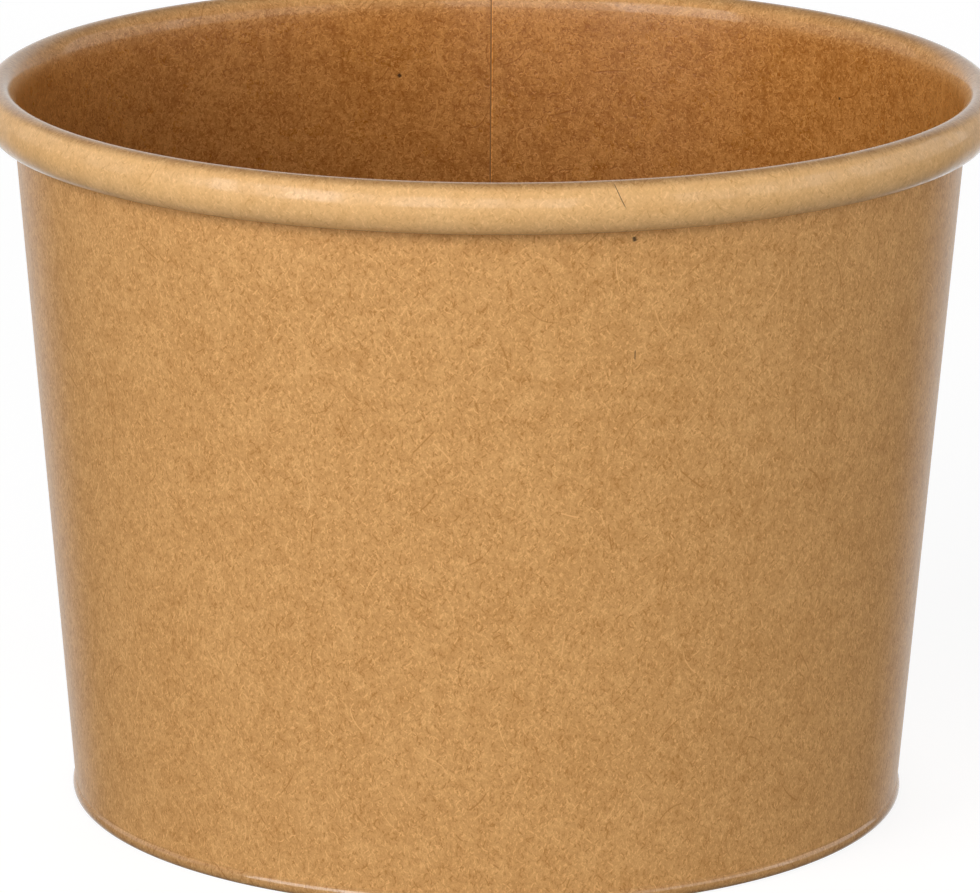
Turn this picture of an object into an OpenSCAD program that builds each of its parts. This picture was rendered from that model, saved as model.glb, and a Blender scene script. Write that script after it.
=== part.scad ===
// Paper soup bowl: a lapped kraft-board wall with a rolled rim and a hemmed foot, and a sealed base disc.
// Millimetres, +Z up, the bowl stands on z = 0 with its axis on Z. The side seam is at +Y.

/* [Bowl] */
// Outside diameter over the rolled rim
rim_d = 90; // [80:0.5:120]
// Height from the table to the top of the rim
height = 65.2; // [45:0.1:110]
// Outside diameter of the wall, carried straight down to the table
foot_d = 74.2; // [60:0.1:85]

/* [Board] */
// Thickness of the wall board
board_t = 0.42; // [0.3:0.01:0.6]
// Thickness of the base board
base_t = 0.35; // [0.2:0.01:0.5]
// Thickness of the coating film that seals the base skirt to the wall and to the hem
seal_film = 0.02; // [0.01:0.01:0.05]

/* [Rolled rim] */
// How far the roll stands out from the wall under it
roll_out = 2.9; // [2:0.1:4]
// Height of the roll
roll_h = 4.4; // [3:0.1:6]
// Slit between the raw edge of the roll and the wall
curl_gap = 0.1; // [0.05:0.05:0.3]

/* [Foot and base] */
// Height of the base's upper face above the table
base_recess = 7.5; // [5:0.5:15]
// Outer radius of the bend where the base turns down into its skirt
bend_r = 0.8; // [0.6:0.05:1.5]
// Clearance between the free edge of the hem and the bend of the base
hem_clear = 0.5; // [0.2:0.1:2]
// How far the folded bead at the table stands proud of the wall above it
foot_bulge = 0.27; // [0.05:0.01:0.4]
// Width of the flat ring that the bead rests on
foot_flat = 0.5; // [0.2:0.05:0.8]
// Clearance under the lower edge of the skirt
skirt_gap = 0.15; // [0.05:0.05:0.5]

/* [Side seam] */
// Width of the lap at half height
lap_w = 7; // [4:0.5:12]
// Length over which the outer ply steps out to cross the cut edge of the inner ply
jog_w = 10; // [6:0.5:16]

/* [Hidden] */
$fn = 160;
// Straight steps in each quarter turn of a section
arc_steps = 14;
kraft = "#C6955F";
kraft_base = "#C99A66";

// The wall: a cone through the foot line and the line under the roll
slope = (rim_d / 2 - roll_out - foot_d / 2) / (height - roll_h);
taper = atan(slope);

// Depths below the outer face of the wall, through the sealed sandwich at the foot
skirt_out = board_t + seal_film;
skirt_in = skirt_out + base_t;
hem_out = skirt_in + seal_film;
hem_in = hem_out + board_t;

// The roll: an upright ellipse that touches the rim circle, the top plane and the inner face of the wall
roll_b = roll_h / 2;
roll_z = height - roll_b;
roll_reach = (rim_d / 2 - wall_r(roll_z, board_t)) * cos(taper);
roll_a = (pow(roll_reach, 2) - pow(roll_b * sin(taper), 2)) / (2 * roll_reach * cos(taper));
roll_c = [rim_d / 2 - roll_a, roll_z];
roll_start = 180 - atan(roll_b * tan(taper) / roll_a);
roll_support = norm([roll_a * cos(taper), roll_b * sin(taper)]);
roll_end = roll_start - 180 - acos((curl_gap + board_t - roll_support) / roll_support);

// The foot: a bead round the fold, flush with the hem, proud of the wall and flat where it meets the table
bead_r = (hem_in + foot_bulge) / 2;
bead_z = sqrt(pow(bead_r, 2) - pow(foot_flat / 2, 2));
bead_c = [wall_r(bead_z, hem_in - bead_r), bead_z];
bead_crease = acos((hem_in - bead_r) / bead_r) - taper;
bead_rest = asin(foot_flat / 2 / bead_r);
slot_floor = board_t;

// The base
base_under = base_recess - base_t;
skirt_end = slot_floor + skirt_gap;
bend_c = [wall_r(base_recess - bend_r, skirt_out + bend_r), base_recess - bend_r];
hem_top = bend_c[1] - hem_clear;

// The seam: the outer ply leaves the round on an arc about an axis set off towards the seam
mean_r = (rim_d + foot_d) / 4;
lap_turn = lap_w / mean_r * 180 / PI;
jog_turn = jog_w / mean_r * 180 / PI;
jog_axis = board_t * (2 * mean_r + board_t) / (2 * (mean_r * (1 - cos(jog_turn)) + board_t));
jog_shift = board_t - jog_axis;
// Angle by which the step starts late, so that it stands off the round at every height
jog_delay = 0.5;
jog_sweep = asin(mean_r * sin(jog_turn) / (mean_r + jog_shift)) - jog_delay;
// Where the lap ends on the top of the roll, as an angle of its section
lap_top = 100;
// How far the cut for the seam step reaches into the open inside
cut_clear = 2;

// Radius at height z of the face that lies depth below the wall's outer face
function wall_r(z, depth) = foot_d / 2 + z * slope - depth / cos(taper);

// Angles from a0 to a1 in even steps
function turns(a0, a1) =
    let (steps = ceil(arc_steps * abs(a1 - a0) / 90))
    [for (i = [0 : steps]) a0 + (a1 - a0) * i / steps];

// Points on a circle about c from angle a0 to angle a1
function arc(c, r, a0, a1) = [for (a = turns(a0, a1)) c + r * [cos(a), sin(a)]];

// Points on the roll, depth below its visible face, from angle a0 to angle a1
function roll(depth, a0, a1) =
    [for (a = turns(a0, a1)) roll_c + [(roll_a - depth) * cos(a), (roll_b - depth) * sin(a)]];

// Points moved away from the axis
function set_out(points, out) = [for (p = points) p + [out, 0]];

// Section of the whole sheet: hem, bead, wall and roll
module sheet_section()
    polygon(concat(
        [[wall_r(hem_top, hem_in), hem_top]],
        arc(bead_c, bead_r, 180 - taper, 270 - bead_rest),
        arc(bead_c, bead_r, 270 + bead_rest, 360 + bead_crease),
        roll(board_t, roll_start, roll_end),
        roll(0, roll_end, roll_start),
        [[wall_r(slot_floor, board_t), slot_floor]],
        [[wall_r(slot_floor, hem_out), slot_floor]],
        [[wall_r(hem_top, hem_out), hem_top]]));

// Section of the outer ply from the table up, its face set out and its inner side depth below the wall's face
module ply_section(depth, out)
    polygon(concat(
        [[wall_r(bead_z, depth), bead_z]],
        [[bead_c[0], 0]],
        set_out(arc(bead_c, bead_r, bead_rest - 90, bead_crease), out),
        set_out(roll(board_t, roll_start, lap_top), out),
        roll(board_t - depth, lap_top, roll_start)));

// Section of the open inside next to the wall, from the base to the top of the roll
module inside_section()
    let (top = roll(0, roll_start, lap_top), last = top[len(top) - 1])
    polygon(concat(
        [[wall_r(base_recess, board_t), base_recess]],
        top,
        [[last[0], height + cut_clear]],
        [[wall_r(base_recess, board_t) - cut_clear, height + cut_clear]],
        [[wall_r(base_recess, board_t) - cut_clear, base_recess]]));

// A section turned about the set-off axis, from the cut edge of the inner ply back to where the ply steps out
module jog()
    translate([0, jog_axis, 0])
    rotate([0, 0, 90])
    rotate_extrude(angle = jog_sweep)
    translate([jog_shift, 0])
    children();

// The outer ply over the inner ply, from the cut edge to the outer ply's own raw edge
module lap()
    rotate([0, 0, 90])
    mirror([0, 1, 0])
    rotate_extrude(angle = lap_turn)
    ply_section(board_t / 2, board_t);

// Side wall: one sheet, lapped at the seam, with a rolled rim and a hemmed foot
module side_wall()
    color(kraft)
    difference() {
        union() {
            rotate_extrude() sheet_section();
            jog() ply_section(board_t, 0);
            lap();
        }
        jog() inside_section();
    }

// Base disc: flat, with its edge turned down into the skirt that is sealed in the foot
module base_disc()
    color(kraft_base)
    rotate_extrude()
    polygon(concat(
        [[0, base_under]],
        arc(bend_c, bend_r - base_t, 90, -taper),
        [[wall_r(skirt_end, skirt_in), skirt_end]],
        [[wall_r(skirt_end, skirt_out), skirt_end]],
        arc(bend_c, bend_r, -taper, 90),
        [[0, base_recess]]));

side_wall();
base_disc();
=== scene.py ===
"""Looks of a kraft-board soup bowl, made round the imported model. Metres, +Z up, the side seam at +Y."""
import math

import bmesh
import bpy
from mathutils import Matrix, Vector, noise


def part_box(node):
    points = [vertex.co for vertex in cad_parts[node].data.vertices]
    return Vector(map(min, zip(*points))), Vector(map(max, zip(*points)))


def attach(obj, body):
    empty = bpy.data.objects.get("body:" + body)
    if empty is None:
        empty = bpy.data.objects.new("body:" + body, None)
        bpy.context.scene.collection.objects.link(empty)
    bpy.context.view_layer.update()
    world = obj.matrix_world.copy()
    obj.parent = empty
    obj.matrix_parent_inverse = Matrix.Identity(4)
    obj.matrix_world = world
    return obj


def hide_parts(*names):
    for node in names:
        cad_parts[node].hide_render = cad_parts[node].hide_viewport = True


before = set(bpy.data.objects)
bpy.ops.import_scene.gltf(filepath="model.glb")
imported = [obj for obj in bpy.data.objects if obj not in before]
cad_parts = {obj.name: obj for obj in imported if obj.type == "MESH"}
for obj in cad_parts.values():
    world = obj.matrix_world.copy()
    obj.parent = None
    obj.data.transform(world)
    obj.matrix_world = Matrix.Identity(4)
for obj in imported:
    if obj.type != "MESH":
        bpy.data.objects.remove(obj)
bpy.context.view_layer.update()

MM = 0.001

# Sizes that the frame gives
WALL_LOW, WALL_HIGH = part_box("side_wall")
BASE_LOW, BASE_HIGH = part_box("base_disc")
RIM_R = WALL_HIGH.x
HEIGHT = WALL_HIGH.z
BASE_TOP = BASE_HIGH.z
SKIRT_END = BASE_LOW.z

# The board and its folds
BOARD = 0.42 * MM
BASE_BOARD = 0.35 * MM
FILM = 0.02 * MM
FOOT_R = 37.1 * MM
ROLL_OUT = 2.9 * MM
ROLL_H = 4.4 * MM
CURL_GAP = 0.1 * MM
BEND_R = 0.8 * MM
HEM_CLEAR = 0.5 * MM
FOOT_BULGE = 0.27 * MM
FOOT_FLAT = 0.5 * MM
LAP = 7 * MM
JOG = 10 * MM

# Small faults of a real bowl: cut edges that lean, an uneven roll, and a squeezed ply under the lap
CUT_LEAN = 0.13 * MM
ROLL_DENT = 0.1 * MM
DENT_SIZE = 9 * MM
SQUEEZE = 0.52 * BOARD

# The wall is a cone, and the sandwich at the foot is wall, skirt and hem
SLOPE = (RIM_R - ROLL_OUT - FOOT_R) / (HEIGHT - ROLL_H)
TAPER = math.atan(SLOPE)
SKIRT_OUT = BOARD + FILM
SKIRT_IN = SKIRT_OUT + BASE_BOARD
HEM_OUT = SKIRT_IN + FILM
HEM_IN = HEM_OUT + BOARD
MEAN_R = (RIM_R + FOOT_R) / 2

# Steps of the mesh
TURN_STEPS = 320
WALL_ROWS = 30
HEM_ROWS = 6
ARC_STEP = math.radians(7.5)
SHARP_FROM = math.radians(40)
MERGE_WITHIN = 0.001 * MM


def wall_r(z, depth):
    """Radius at height z of the face that lies depth below the wall's outer face."""
    return FOOT_R + z * SLOPE - depth / math.cos(TAPER)


def run(start, end, steps):
    """Points on a straight line, without its end."""
    return [start.lerp(end, i / steps) for i in range(steps)]


def arc(centre, radii, start, end):
    """Points on an ellipse about centre, from one angle to another."""
    steps = math.ceil(abs(end - start) / ARC_STEP)
    angles = [start + (end - start) * i / steps for i in range(steps + 1)]
    return [centre + Vector((radii[0] * math.cos(a), radii[1] * math.sin(a))) for a in angles]


# The roll: an upright ellipse that touches the rim circle, the top plane and the inner face of the wall
ROLL_B = ROLL_H / 2
ROLL_Z = HEIGHT - ROLL_B
ROLL_REACH = (RIM_R - wall_r(ROLL_Z, BOARD)) * math.cos(TAPER)
ROLL_A = (ROLL_REACH ** 2 - (ROLL_B * math.sin(TAPER)) ** 2) / (2 * ROLL_REACH * math.cos(TAPER))
ROLL_C = Vector((RIM_R - ROLL_A, ROLL_Z))
ROLL_START = math.pi - math.atan(ROLL_B * math.tan(TAPER) / ROLL_A)
ROLL_SUPPORT = math.hypot(ROLL_A * math.cos(TAPER), ROLL_B * math.sin(TAPER))
ROLL_END = ROLL_START - math.pi - math.acos((CURL_GAP + BOARD) / ROLL_SUPPORT - 1)

# The bead round the fold at the foot, and the top of the hem inside it
BEAD_R = (HEM_IN + FOOT_BULGE) / 2
BEAD_Z = math.sqrt(BEAD_R ** 2 - (FOOT_FLAT / 2) ** 2)
BEAD_C = Vector((wall_r(BEAD_Z, HEM_IN - BEAD_R), BEAD_Z))
BEAD_CREASE = math.acos((HEM_IN - BEAD_R) / BEAD_R) - TAPER
BEAD_REST = math.asin(FOOT_FLAT / 2 / BEAD_R)
HEM_TOP = BASE_TOP - BEND_R - HEM_CLEAR


def on_wall(z, depth):
    """Point of the section at height z, depth below the wall's outer face."""
    return Vector((wall_r(z, depth), z))


def roll(depth, start, end):
    """Points on the roll, depth below its visible face."""
    return arc(ROLL_C, (ROLL_A - depth, ROLL_B - depth), start, end)


def sheet_faces():
    """The board's section in two runs: from the hem round the foot and up into the roll, and back."""
    hem = run(on_wall(HEM_TOP, HEM_IN), BEAD_C + Vector((-BEAD_R, 0)), HEM_ROWS)
    bead = arc(BEAD_C, (BEAD_R, BEAD_R), math.pi - TAPER, 1.5 * math.pi - BEAD_REST)
    bead += arc(BEAD_C, (BEAD_R, BEAD_R), 1.5 * math.pi + BEAD_REST, 2 * math.pi + BEAD_CREASE)
    curl = roll(BOARD, ROLL_START, ROLL_END)
    outside = hem + bead + run(bead[-1], curl[0], WALL_ROWS)[1:] + curl
    face = roll(0, ROLL_END, ROLL_START)
    slot = [on_wall(BOARD, BOARD), on_wall(BOARD, HEM_OUT)]
    inside = face + run(face[-1], slot[0], WALL_ROWS)[1:] + run(slot[1], on_wall(HEM_TOP, HEM_OUT), HEM_ROWS)
    return outside, inside + [on_wall(HEM_TOP, HEM_OUT)]


def ease(x):
    """Smooth step from 0 to 1."""
    x = min(max(x, 0), 1)
    return x * x * (3 - 2 * x)


def sheet_normals(points):
    """Normals of a run of points, on its right-hand side."""
    found = []
    for i in range(len(points)):
        along = points[min(i + 1, len(points) - 1)] - points[max(i - 1, 0)]
        found.append(Vector((along.y, -along.x)).normalized())
    return found


def lengths(points):
    """Distance along a run of points, at each of them."""
    found = [0]
    for a, b in zip(points, points[1:]):
        found.append(found[-1] + (b - a).length)
    return found


# The sheet laid out flat: how far it goes round, and where its roll, the crest of the roll and its bead are
OUTSIDE, INSIDE = sheet_faces()
ALONG = lengths(OUTSIDE + INSIDE)
LAP_TURN = LAP / MEAN_R
JOG_TURN = JOG / MEAN_R
SHEET_TURN = 2 * math.pi + LAP_TURN
ROLL_FROM = ALONG[len(OUTSIDE)] / MM
ROLL_TO = ALONG[len(OUTSIDE) + len(roll(0, ROLL_END, ROLL_START)) - 1] / MM
CREST = ROLL_TO - 3
ONCE_ROUND = 2 * math.pi * MEAN_R / MM
BEAD_FROM = ALONG[HEM_ROWS] / MM
BEAD_END = next(p for p in OUTSIDE[HEM_ROWS + 1:] if p.y > 2 * BEAD_Z)
BEAD_TO = ALONG[OUTSIDE.index(BEAD_END) - 1] / MM


def dented(point, turn):
    """The roll's outer half pushed in a little here and there."""
    spot = Vector((point.x * math.sin(turn), point.x * math.cos(turn), point.y)) / DENT_SIZE
    depth = ROLL_DENT * ease((point.x - ROLL_C.x) / ROLL_A) * (0.5 + 0.5 * noise.noise(spot))
    return point + (ROLL_C - point).normalized() * depth


def shaped(point, out, outer_face, turn):
    """Where a point of the section goes at a turn: the outer ply steps out over the inner one."""
    step = ease((turn - 2 * math.pi + JOG_TURN) / JOG_TURN)
    under = 1 - ease((turn - LAP_TURN) / JOG_TURN)
    place = dented(point, turn) + out * BOARD * step
    if outer_face:
        place.y = max(place.y, SQUEEZE * under)
    else:
        place.y = max(place.y, BOARD / 2)
    return place


def side_sheet():
    """The wall's sheet: its section turned from the inner ply's cut edge, once round and over it."""
    points = OUTSIDE + INSIDE
    outs = sheet_normals(OUTSIDE) + [-n for n in sheet_normals(INSIDE)]
    shape = bmesh.new()
    number = shape.verts.layers.int.new("number")
    turned = shape.verts.layers.float.new("turned")
    ring = [shape.verts.new((0, p.x, p.y)) for p in points]
    for i, v in enumerate(ring):
        v[number] = i
    edges = [shape.edges.new(pair) for pair in zip(ring, ring[1:] + ring[:1])]
    bmesh.ops.spin(shape, geom=ring + edges, axis=(0, 0, -1), angle=SHEET_TURN, steps=TURN_STEPS)
    for k, v in enumerate(shape.verts):
        i = v[number]
        on_outside = i < len(OUTSIDE)
        turn = k // len(points) * SHEET_TURN / TURN_STEPS
        if k < len(points) and not on_outside:
            turn += CUT_LEAN / MEAN_R
        if k >= TURN_STEPS * len(points) and on_outside:
            turn -= CUT_LEAN / MEAN_R
        v[turned] = turn
        place = shaped(points[i], outs[i], on_outside, turn)
        v.co = (place.x * math.sin(turn), place.x * math.cos(turn), place.y)
    rims = [e for e in shape.edges if e.is_boundary]
    cuts = bmesh.ops.holes_fill(shape, edges=rims, sides=len(points) + 1)
    bmesh.ops.recalc_face_normals(shape, faces=shape.faces)
    lay_flat(shape, number, turned, set(cuts["faces"]))
    return shape


def lay_flat(shape, number, turned, cuts):
    """Texture map in millimetres of board: the way round and the way over. Raw edges get a mark."""
    flat = shape.loops.layers.uv.new("board")
    raw = shape.faces.layers.float.new("raw_edge")
    last = len(ALONG) - 1
    for face in shape.faces:
        numbers = [l.vert[number] for l in face.loops]
        if face in cuts:
            face[raw] = 1
            for l in face.loops:
                l[flat].uv = (l.vert.co.xy.length / MM, l.vert.co.z / MM)
            continue
        closing = 0 in numbers and last in numbers
        face[raw] = closing
        for l, i in zip(face.loops, numbers):
            over = ALONG[last] + BOARD if closing and i == 0 else ALONG[i]
            l[flat].uv = (l.vert[turned] * MEAN_R / MM, over / MM)


def base_board():
    """The base: a flat disc with its edge turned down into a skirt."""
    bend = on_wall(BASE_TOP - BEND_R, SKIRT_OUT + BEND_R)
    under = BASE_TOP - BASE_BOARD
    turn_in = BEND_R - BASE_BOARD
    points = run(Vector((0, under)), Vector((bend.x, under)), HEM_ROWS)
    points += arc(bend, (turn_in, turn_in), math.pi / 2, -TAPER)
    points += [on_wall(SKIRT_END, SKIRT_IN), on_wall(SKIRT_END, SKIRT_OUT)]
    points += arc(bend, (BEND_R, BEND_R), -TAPER, math.pi / 2)
    points += run(Vector((bend.x, BASE_TOP)), Vector((0, BASE_TOP)), HEM_ROWS)[1:] + [Vector((0, BASE_TOP))]
    shape = bmesh.new()
    ring = [shape.verts.new((0, p.x, p.y)) for p in points]
    edges = [shape.edges.new(pair) for pair in zip(ring, ring[1:])]
    bmesh.ops.spin(
        shape, geom=ring + edges, axis=(0, 0, 1), angle=2 * math.pi, steps=TURN_STEPS // 2, use_merge=True)
    bmesh.ops.remove_doubles(shape, verts=shape.verts, dist=MERGE_WITHIN)
    bmesh.ops.recalc_face_normals(shape, faces=shape.faces)
    flat = shape.loops.layers.uv.new("board")
    for face in shape.faces:
        for l in face.loops:
            l[flat].uv = (l.vert.co.x / MM, l.vert.co.y / MM)
    return shape


def piece(name, shape, material, node):
    """A finished piece of the bowl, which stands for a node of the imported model."""
    mesh = bpy.data.meshes.new(name)
    shape.to_mesh(mesh)
    shape.free()
    mesh.shade_smooth()
    mesh.set_sharp_from_angle(angle=SHARP_FROM)
    mesh.materials.append(material)
    made = bpy.data.objects.new(name, mesh)
    bpy.context.scene.collection.objects.link(made)
    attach(made, "root")
    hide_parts(node)
    return made


class Wire:
    """A socket in a node tree. Arithmetic on it adds Math nodes, and node() adds any other node."""

    def __init__(self, tree, socket=None):
        self.tree = tree
        self.socket = socket

    def node(self, kind, sockets, output=0, **settings):
        """An output of a new node. Its settings are made first, and then its sockets are filled."""
        made = self.tree.nodes.new("ShaderNode" + kind)
        for name, value in settings.items():
            setattr(made, name, value)
        for name, value in sockets.items():
            if isinstance(value, Wire):
                self.tree.links.new(value.socket, made.inputs[name])
            else:
                made.inputs[name].default_value = value
        return Wire(self.tree, made.outputs[output] if made.outputs else None)

    def other(self, output):
        """Another output of the same node."""
        return Wire(self.tree, self.socket.node.outputs[output])

    def math(self, operation, *values):
        return self.node("Math", dict(enumerate((self, *values))), operation=operation)

    def span(self, low, high, to_low=0.0, to_high=1.0):
        """This value eased from one range to another, and held at both ends."""
        sockets = {"Value": self, "From Min": low, "From Max": high, "To Min": to_low, "To Max": to_high}
        return self.node("MapRange", sockets, interpolation_type="SMOOTHSTEP")

    def tint(self, start, end):
        """A colour between two, by this value."""
        return self.node("Mix", {0: self, 6: start, 7: end}, 2, data_type="RGBA")

    def __add__(self, value):
        return self.math("ADD", value)

    __radd__ = __add__

    def __sub__(self, value):
        return self.math("SUBTRACT", value)

    def __rsub__(self, value):
        return self * -1 + value

    def __mul__(self, value):
        return self.math("MULTIPLY", value)

    __rmul__ = __mul__

    def __abs__(self):
        return self.math("ABSOLUTE")


def shifted(place, x, y):
    """Board coordinates measured from another point."""
    return place.node("VectorMath", {0: place, 1: (x, y, 0)}, operation="SUBTRACT")


# How far a pattern moves over the board from one seed to the next, in millimetres
SEED_STEP = 17.3, 31.7


def seeded(place, seed):
    """Board coordinates moved on, so that each seed shows another part of a pattern."""
    return shifted(place, -SEED_STEP[0] * seed, -SEED_STEP[1] * seed)


def strand(local, angle, length, width, bow):
    """Mask of one bent fibre about the local origin. Its length and width are in millimetres."""
    turned = local.node("VectorRotate", {"Vector": local, "Angle": angle}, rotation_type="Z_AXIS")
    across = local.node("SeparateXYZ", {"Vector": turned})
    lengthwise = across.other("Y")
    side = abs(across + lengthwise * lengthwise * bow)
    return side.span(width, 0.2 * width) * abs(lengthwise).span(0.5 * length, 0.3 * length)


def fibres(place, seed, cell, length, width, curl, fan):
    """Short bent fibres, one to a cell, from -1 for the darkest to 1 for the palest. Most are faint.

    fan is how far they turn from upright, in half turns."""
    place = seeded(place, seed)
    sockets = {"Vector": place, "Scale": 1 / cell}
    nearest = place.node("TexVoronoi", sockets, "Position", voronoi_dimensions="2D")
    dice = place.node("SeparateColor", {"Color": nearest.other("Color")})
    local = place.node("VectorMath", {0: place, 1: nearest}, operation="SUBTRACT")
    bow = (dice.other("Green") - 0.5) * (4 / length) * curl
    strength = dice.other("Blue") * 2 - 1
    return strand(local, (dice - 0.5) * math.pi * fan, length, width, bow) * strength * abs(strength)


def clouds(place, seed, size, detail, rough=0.6):
    """Soft noise about 0 with patches of a size in millimetres."""
    sockets = {"Vector": seeded(place, seed), "Scale": 1 / size, "Detail": detail, "Roughness": rough}
    return place.node("TexNoise", sockets, noise_dimensions="2D") - 0.5


# Board colours, from the dark of the pulp to its pale fibres
KRAFT = (0.49, 0.226, 0.060, 1), (0.80, 0.444, 0.168, 1)
# Inner face of the board, darker and redder, partly painted shade inside the bowl
KRAFT_INNER_AND_SHADE = (0.328, 0.110, 0.0145, 1), (0.604, 0.268, 0.068, 1)
# The roll's colours: board paler where stretched, and partly a painted sheen
KRAFT_PALE_AND_SHEEN = (0.73, 0.41, 0.15, 1), (0.97, 0.62, 0.29, 1)

# Clouds of the pulp: patch size in millimetres, detail and roughness, and how strongly they show
CLOUDS = (
    (7, 2, 0.6, 0.7),
    (1.7, 2, 0.6, 1.2),
    (0.5, 2, 0.7, 1.2),
    (0.16, 1, 0.6, 1.0),
)
# Clouds of the film, where it shines more and less: seed, patch size and detail
SHEEN = 13, 3.5, 4

# Fibres of the board in millimetres: cell, length and width, and how strongly they show
FELT = (
    (0.32, 0.34, 0.08, 1.0),
    (0.35, 0.38, 0.08, 1.0),
    (0.50, 0.50, 0.08, 1.1),
    (0.60, 0.55, 0.09, 1.1),
    (1.10, 0.85, 0.09, 1.4),
    (1.60, 0.35, 0.14, 1.8),
    (4.50, 3.40, 0.09, 1.4),
)


def pulp(place, seed, fan, curl):
    """Tone of the board about 0: cloudy pulp with a felt of dark and pale fibres."""
    tone = 0
    for i, (size, detail, rough, weight) in enumerate(CLOUDS, seed):
        tone = tone + clouds(place, i, size, detail, rough) * weight
    for i, (cell, length, width, weight) in enumerate(FELT, seed + len(CLOUDS)):
        tone = tone + fibres(place, i, cell, length, width, curl, fan) * weight
    return tone


# Marks that stand out, dark ones and pale ones: round and over the board, turn in degrees, length and width
DARK_MARKS = (
    (249.38, 95.33, 30, 0.42, 0.26),
    (36.55, 94.30, 0, 0.30, 0.22),
    (116.98, 67.18, 15, 0.50, 0.26),
    (119.00, 84.60, 18, 2.80, 0.055),
    (116.56, 56.98, 0, 0.95, 0.07),
)
PALE_MARKS = (
    (121.90, 43.00, 74, 1.90, 0.09),
    (105.37, 47.20, 0, 0.90, 0.11),
    (98.98, 47.29, 20, 0.60, 0.10),
    (108.26, 56.82, 10, 0.60, 0.10),
)
MARK_BOW = 0.06


def marks(place, rows):
    """Mask of the few specks and fibres of the wall that stand out."""
    found = 0
    for round_at, over_at, turn, length, width in rows:
        local = shifted(place, round_at, over_at)
        found = found + strand(local, math.radians(turn), length, width, MARK_BOW)
    return found


def shades(tone, colours):
    """A colour of the board by its tone, which runs from -1 to 1."""
    return (tone * 0.5 + 0.5).tint(*colours)


# Relief of the fibres, shine of the board itself and roughness of its film
RELIEF = 0.2
RELIEF_DEPTH = 0.02 * MM
BOARD_IOR = 1.5
BOARD_SHINE = 0.25
FILM_ROUGH = 0.1


def kraft_shader(tree, colour, dim, relief, rough, film):
    """Brown board under a thin satin film."""
    # The colour scaled by dim, which on the wall carries painted shade and a painted highlight as well as
    # marks
    shade = tree.node("VectorMath", {0: colour, "Scale": dim}, operation="SCALE")
    bump = tree.node("Bump", {"Strength": RELIEF, "Distance": RELIEF_DEPTH, "Height": relief})
    surface = tree.node("BsdfPrincipled", {
        "Base Color": shade, "Roughness": rough, "Normal": bump, "IOR": BOARD_IOR,
        "Specular IOR Level": BOARD_SHINE, "Coat Weight": film, "Coat Roughness": FILM_ROUGH})
    tree.node("OutputMaterial", {"Surface": surface})


def new_material(name):
    """An empty material and a wire into its nodes."""
    material = bpy.data.materials.new(name)
    material.use_nodes = True
    material.node_tree.nodes.clear()
    return material, Wire(material.node_tree)


def strip(over_way, start, full, ending, end):
    """Mask of a strip of the board, which comes up from start to full and goes down from ending to end."""
    return over_way.span(start, full) * over_way.span(end, ending)


# Painted crevice shade in the gap beside the inner ply's cut edge, and the cut's corner, paler raw fibres
# with a painted highlight: where and how wide, in millimetres
SEAM_CUT = CUT_LEAN / MM
GAP_SHADE_AT = ONCE_ROUND + SEAM_CUT - 0.03
GAP_SHADE_WIDE = 0.16, 0.05
LIT_CORNER_WIDE = 0.14, 0.06

# How much darker or paler the board is there: at raw edges (darker core, partly painted shade), in the gap
# (painted crevice shade), at the cut's corner (paler fibres, partly painted highlight), on the crest (painted
# shade), at the foot, at marks, and on the roll (paler and evener, partly painted sheen)
RAW_DARK_AND_SHADE = 0.5
GAP_SHADE = 0.7
CORNER_PALE_AND_LIT = 0.5
CREST_SHADE = 0.24
FOOT_DARK = 0.2
MARK_DARK = 0.85
MARK_PALE = 2
ROLL_PALE_AND_SHEEN = 0.7
ROLL_EVEN = 0.6

# How fibres lie and curl on the outside, and what is added on the lining to that and to how they show
WALL_FAN, LINING_FAN = 0.7, 1.3
WALL_CURL, LINING_CURL = 0.4, 0.8
LINING_TONE = 0.4

# Roughness of the board, and how much its sheen, the roll and the lining change it
WALL_ROUGH = 0.66
SHEEN_ROUGH = 0.2
ROLL_SMOOTH = 0.22
LINING_SMOOTH = 0.36

# Film on the wall, and how much more or less of it shows elsewhere
WALL_FILM = 0.4
SHEEN_FILM = 1.8
ROLL_FILM = -0.1
UNDER_FILM = 0.6
CREST_FILM = 0.5
LIP_FILM = 0.1
FOOT_FILM = 0.6
LINING_FILM = -0.35


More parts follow.
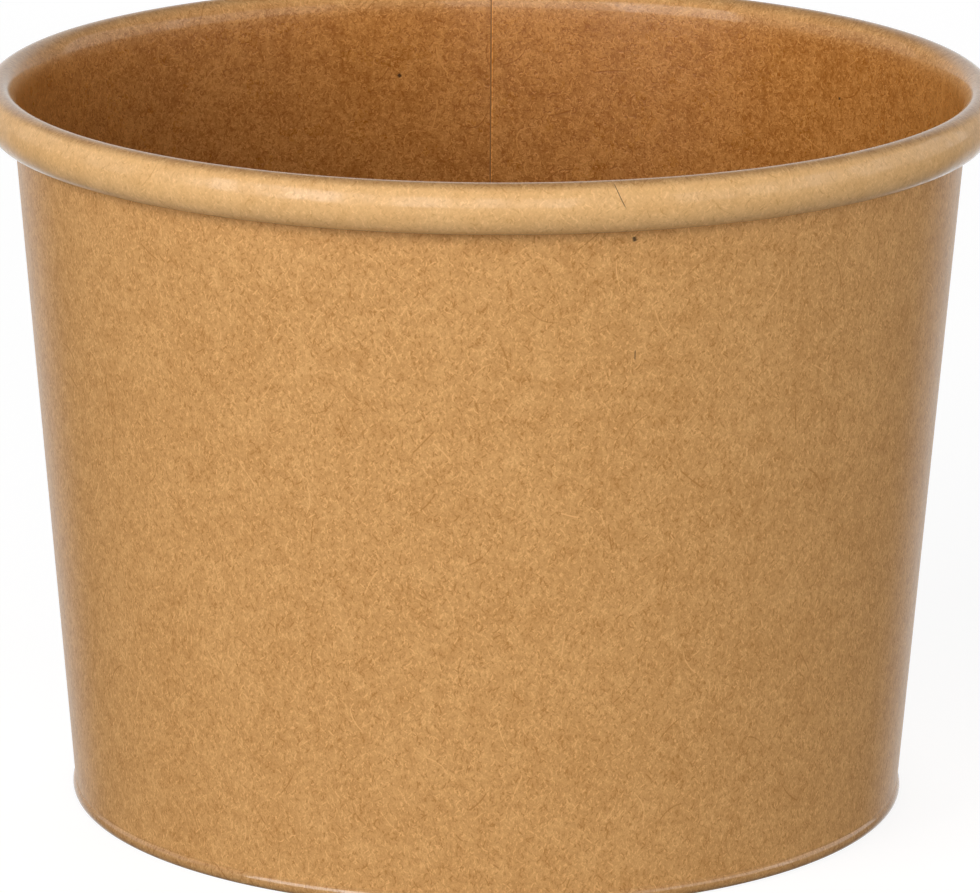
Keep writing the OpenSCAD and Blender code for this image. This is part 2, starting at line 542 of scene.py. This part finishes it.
def wall_kraft():
    """The wall's board: paler and smoother where it is stretched over the roll, partly a painted sheen; dark
    at its raw edges, partly painted shade; with painted shade in the seam's gap and on the crest, and a
    painted highlight at the cut's corner.
    """
    material, tree = new_material("kraft_wall")
    place = tree.node("UVMap", {}, uv_map="board")
    round_way = tree.node("SeparateXYZ", {"Vector": place})
    over_way = round_way.other("Y")
    rolled = strip(over_way, ROLL_FROM, ROLL_FROM + 1, CREST - 1, CREST)
    under = rolled * over_way.span(CREST - 2.5, CREST - 4)
    crest = strip(over_way, CREST - 1, CREST - 0.2, CREST + 0.8, CREST + 1.8)
    lip = strip(over_way, CREST + 0.8, CREST + 1.8, ROLL_TO + 1, ROLL_TO + 3)
    foot = strip(over_way, BEAD_FROM, BEAD_FROM + 1, BEAD_TO - 0.2, BEAD_TO + 0.3)
    lining = over_way.span(ROLL_TO - 2, ROLL_TO + 1)
    raw = tree.node("Attribute", {}, "Fac", attribute_name="raw_edge")
    inner_face = over_way.math("GREATER_THAN", ROLL_FROM)
    # Painted crevice shade in the gap beside the inner ply's cut edge
    gap_shade = abs(round_way - GAP_SHADE_AT).span(*GAP_SHADE_WIDE) * inner_face
    # The cut's corner: paler raw fibres with a painted highlight where the edge faces the light
    pale_lit_corner = (round_way - SEAM_CUT).span(*LIT_CORNER_WIDE) * inner_face * (1 - raw)

    tone = pulp(place, 1, WALL_FAN + lining * LINING_FAN, WALL_CURL + lining * LINING_CURL)
    tone = tone * (1 + lining * LINING_TONE) + marks(place, PALE_MARKS) * MARK_PALE
    # Raw edges darker, a darker core partly painted as shade; painted crevice shade in the gap; painted
    # highlight at the cut's corner
    dim = (1 - raw * RAW_DARK_AND_SHADE) * (1 - gap_shade * GAP_SHADE) * (1 + pale_lit_corner * CORNER_PALE_AND_LIT)
    # Painted shade on the roll's crest, where it faces up away from the lamps; the foot is darker too
    dim = dim * (1 - crest * CREST_SHADE) * (1 - foot * FOOT_DARK)
    dim = dim * (1 - marks(place, DARK_MARKS) * MARK_DARK)
    # The lining's colours: a darker, redder board, partly painted shade inside the bowl
    colour = lining.tint(shades(tone, KRAFT), shades(tone, KRAFT_INNER_AND_SHADE))
    # Over the roll the board is paler and its tone evener, partly a painted sheen
    colour = (rolled * ROLL_PALE_AND_SHEEN).tint(colour, shades(tone * ROLL_EVEN, KRAFT_PALE_AND_SHEEN))

    sheen = clouds(place, *SHEEN)
    rough = WALL_ROUGH + sheen * SHEEN_ROUGH - rolled * ROLL_SMOOTH - lining * LINING_SMOOTH
    film = WALL_FILM + rolled * (sheen * SHEEN_FILM + ROLL_FILM) + under * UNDER_FILM
    film = film + crest * CREST_FILM + lip * LIP_FILM + foot * FOOT_FILM + lining * LINING_FILM
    kraft_shader(tree, colour, dim, tone, rough, film)
    return material


BASE_SEED = 61
BASE_FAN = 2
BASE_CURL = 0.8
BASE_ROUGH = 0.5
BASE_FILM = 0.1


def base_kraft():
    """The base's board."""
    material, tree = new_material("kraft_base")
    place = tree.node("UVMap", {}, uv_map="board")
    tone = pulp(place, BASE_SEED, BASE_FAN, BASE_CURL)
    rough = BASE_ROUGH + clouds(place, *SHEEN) * SHEEN_ROUGH
    # The base takes the lining's colours, partly painted shade inside the bowl
    kraft_shader(tree, shades(tone, KRAFT_INNER_AND_SHADE), 1, tone, rough, BASE_FILM)
    return material


# Light all round, and what shows in things that shine: a white backdrop, and a dim room above a dimmer floor
AMBIENT = 0.03
WHITE_BEHIND = 1.0
DIM_ROOM = 0.3
DIM_FLOOR = 0.15
# How far round the backdrop reaches, as parts of +Y: its edge above and below the horizon, and its full white
EDGE_ABOVE = 0.65
EDGE_BELOW = 0.6
FULL_BEHIND = 0.94
HORIZON = 0.02


def studio():
    """A white backdrop behind the bowl, a dim room for what shines, and a little light all round."""
    world = bpy.data.worlds.new("studio")
    world.use_nodes = True
    world.node_tree.nodes.clear()
    tree = Wire(world.node_tree)
    path = tree.node("LightPath", {}, "Is Camera Ray")
    way = tree.node("SeparateXYZ", {"Vector": tree.node("TexCoord", {}, "Generated")})
    side = way.other("Z").span(-HORIZON, HORIZON, EDGE_BELOW, EDGE_ABOVE)
    dim = way.other("Z").span(-HORIZON, HORIZON, DIM_FLOOR, DIM_ROOM)
    behind = way.other("Y").span(side, FULL_BEHIND, dim, WHITE_BEHIND)
    shine = path.other("Is Glossy Ray").math("MAXIMUM", path.other("Is Transmission Ray"))
    plain = (1 - path) * (1 - shine)
    strength = path + shine * behind + plain * AMBIENT
    light = tree.node("Background", {"Color": (1, 1, 1, 1), "Strength": strength})
    tree.node("OutputWorld", {"Surface": light})
    bpy.context.scene.world = world


# The floor: its glow and its grey where it is seen, its grey for the light it gives back, and half its width
FLOOR_GLOW = 0.87
FLOOR_SHADE = 0.24
FLOOR_PALE = 0.08
FLOOR_HALF = 4


def floor():
    """A pale floor, white to the camera, that keeps the bowl's shadow. What shines shows the studio."""
    shape = bmesh.new()
    bmesh.ops.create_grid(shape, x_segments=1, y_segments=1, size=FLOOR_HALF)
    mesh = bpy.data.meshes.new("floor")
    shape.to_mesh(mesh)
    shape.free()
    material, tree = new_material("floor_white")
    pale = tree.node("BsdfDiffuse", {"Color": (FLOOR_PALE,) * 3 + (1,)})
    shade = tree.node("BsdfDiffuse", {"Color": (FLOOR_SHADE,) * 3 + (1,)})
    path = tree.node("LightPath", {}, "Is Camera Ray")
    glow = tree.node("Emission", {"Color": (1, 1, 1, 1), "Strength": FLOOR_GLOW})
    white = tree.node("AddShader", {0: shade, 1: glow})
    seen = path.math("MAXIMUM", path.other("Is Transmission Ray"))
    surface = tree.node("MixShader", {0: seen, 1: pale, 2: white})
    tree.node("OutputMaterial", {"Surface": surface})
    mesh.materials.append(material)
    made = bpy.data.objects.new("floor", mesh)
    made.visible_glossy = False
    bpy.context.scene.collection.objects.link(made)


# Soft lamps near the bowl: degrees round from the camera and up, width and height in metres, watts
LAMP_AWAY = 0.75
LAMPS = {
    "front_light": (-10, 19, 0.82, 0.41, 3.1),
    "left_light": (-50, 21, 0.45, 0.45, 3.05),
    "right_light": (66, 15, 0.68, 0.38, 1.3),
    "low_light": (64, 4, 0.68, 0.1, 1.0),
    "top_light": (180, 62, 0.3, 0.22, 0.8),
    "back_light": (180, 4, 0.6, 0.2, 1.9),
    "right_card": (108, 16, 0.65, 0.4, 0.95),
    "left_card": (-108, 16, 0.65, 0.4, 0.5),
}
# Lamps that do not show in what shines, and cards that show there and give no other light
UNSEEN = "low_light", "top_light", "back_light"
CARDS = "right_card", "left_card"


def softbox(name, around, up, width, height, watts):
    """A soft rectangular lamp that looks at the middle of the bowl."""
    lamp = bpy.data.lights.new(name, "AREA")
    lamp.shape = "RECTANGLE"
    lamp.size = width
    lamp.size_y = height
    lamp.energy = watts
    made = bpy.data.objects.new(name, lamp)
    made.visible_camera = False
    bpy.context.scene.collection.objects.link(made)
    turn = Matrix.Rotation(math.radians(around), 4, "Z") @ Matrix.Rotation(math.radians(90 - up), 4, "X")
    middle = Matrix.Translation((0, 0, HEIGHT / 2))
    made.matrix_world = middle @ turn @ Matrix.Translation((0, 0, LAMP_AWAY))
    return made


# The camera as it stood for the photograph
CAMERA_AT = Vector((0, -625.676, 193.694)) * MM
CAMERA_YAW = 0.00026
CAMERA_DIP = 0.25376
CAMERA_ROLL = 0.00563
CAMERA_LENS = 264.875
CAMERA_SENSOR = 36


def camera():
    """The camera of the photograph."""
    data = bpy.data.cameras.new("camera")
    data.sensor_fit = "HORIZONTAL"
    data.sensor_width = CAMERA_SENSOR
    data.lens = CAMERA_LENS
    made = bpy.data.objects.new("camera", data)
    bpy.context.scene.collection.objects.link(made)
    turn = Matrix.Rotation(-CAMERA_YAW, 4, "Z") @ Matrix.Rotation(math.pi / 2 - CAMERA_DIP, 4, "X")
    made.matrix_world = Matrix.Translation(CAMERA_AT) @ turn @ Matrix.Rotation(CAMERA_ROLL, 4, "Z")
    bpy.context.scene.camera = made


bpy.context.scene.view_settings.view_transform = "Standard"
camera()
studio()
floor()
for lamp, setting in LAMPS.items():
    made = softbox(lamp, *setting)
    made.visible_glossy = lamp not in UNSEEN
    made.visible_diffuse = lamp not in CARDS
piece("wall_board", side_sheet(), wall_kraft(), "side_wall")
piece("base_board", base_board(), base_kraft(), "base_disc")
